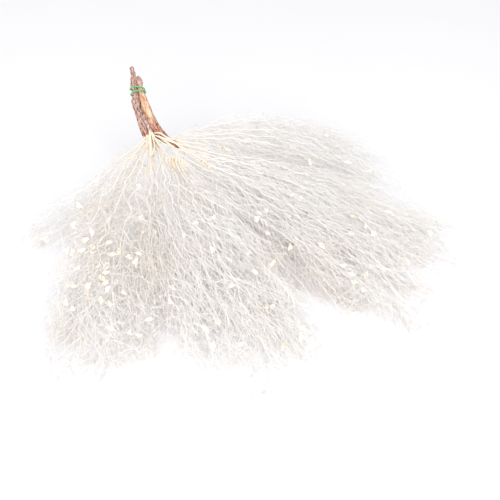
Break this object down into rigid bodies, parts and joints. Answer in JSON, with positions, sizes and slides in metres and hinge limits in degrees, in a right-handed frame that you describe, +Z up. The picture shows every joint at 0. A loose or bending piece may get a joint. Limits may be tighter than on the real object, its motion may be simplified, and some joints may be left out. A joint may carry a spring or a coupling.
{
  "type": "dried grass bundle",
  "caption": "A tied bundle of bleached dried dream grass: bark-covered woody stems bound with green wire, and long airy cream sprays that fan out and droop to the surface.",
  "frame": {"origin": "on the surface that the bundle lies on, under the middle of its box", "axes": "+Z up from the surface; +X to the right as the picture shows it, along the longest side; +Y away from the viewer"},
  "size_m": [0.446, 0.3985, 0.1329],
  "materials": {
    "bark_left": "grey-brown, rough, cracked bark",
    "bark_right": "orange-tan bark, peeled smooth in streaks",
    "bark_inner": "dark red-brown bark in the shade of the others",
    "green_wire": "green twisted paper over wire, matte",
    "dried_grass": "bleached cream, matte, papery"
  },
  "bodies": {
    "root": {"woody_stem_left": "bark_left", "woody_stem_right": "bark_right", "woody_stem_middle": "bark_inner", "woody_stem_rear": "bark_inner", "green_tie": "green_wire", "spray_left": "dried_grass", "spray_front_left": "dried_grass", "spray_front": "dried_grass", "spray_right_front": "dried_grass", "spray_right": "dried_grass", "spray_back": "dried_grass"}
  },
  "joints": []
}
